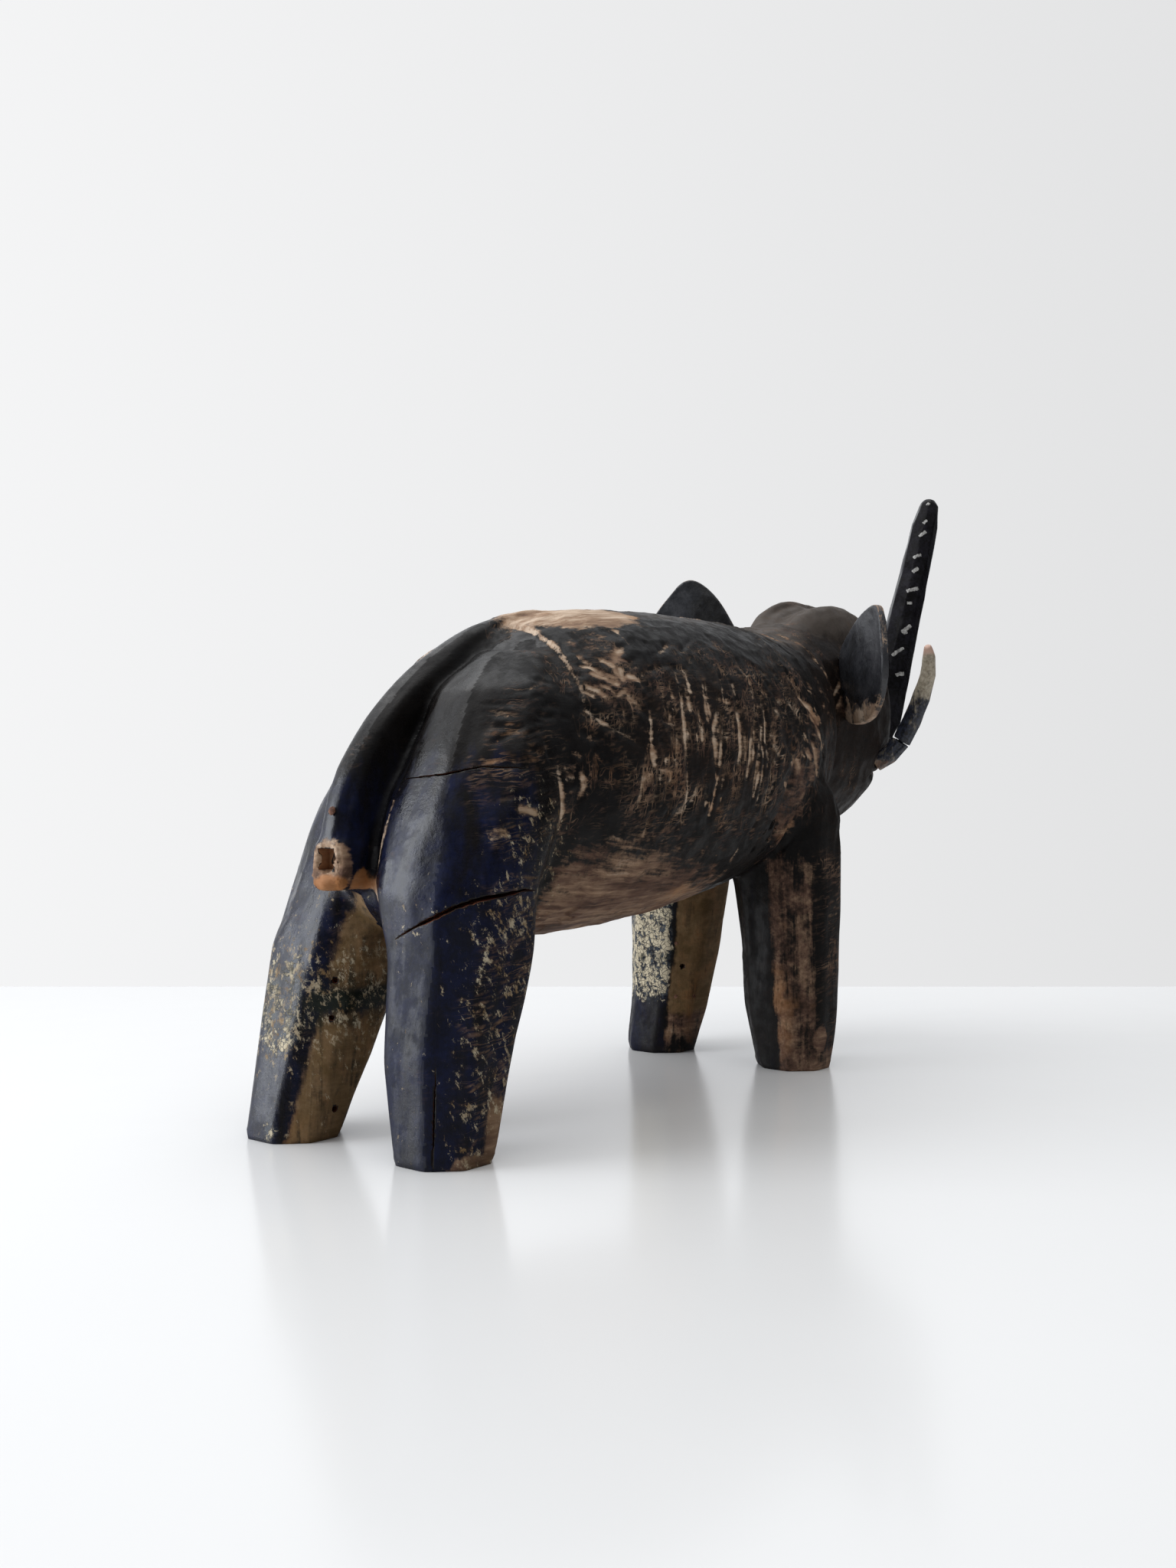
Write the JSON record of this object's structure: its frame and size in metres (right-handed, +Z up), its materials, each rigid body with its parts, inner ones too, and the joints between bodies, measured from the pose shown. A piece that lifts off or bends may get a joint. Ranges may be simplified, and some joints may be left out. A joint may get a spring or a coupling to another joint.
{
  "type": "carved wooden elephant",
  "caption": "Standing elephant carved from one log with a raised trunk, leaf-shaped ears and curved tusks set in as separate pieces, painted black and indigo over worn bare wood",
  "frame": {"origin": "on the floor, under the middle of the overall box", "axes": "+X forward towards the head, +Y to the elephant's left, +Z up"},
  "size_m": [0.7469, 0.246, 0.4933],
  "materials": {
    "body_wood": "worn black and indigo paint over bare wood, semi-gloss",
    "trunk_wood": "glossy black paint with small white dashes",
    "ear_wood": "dark grey paint, bare wood at the worn edges",
    "tusk_wood": "dirty cream paint, worn blue-black towards the root",
    "nail_iron": "rusty iron"
  },
  "bodies": {
    "root": {"body": "body_wood", "trunk": "trunk_wood", "ear_left": "ear_wood", "ear_right": "ear_wood", "tusk_left": "tusk_wood", "tusk_right": "tusk_wood", "tusk_root_left": "tusk_wood", "tusk_root_right": "tusk_wood", "nail_rump": "nail_iron", "nails_leg": "nail_iron"}
  },
  "joints": []
}
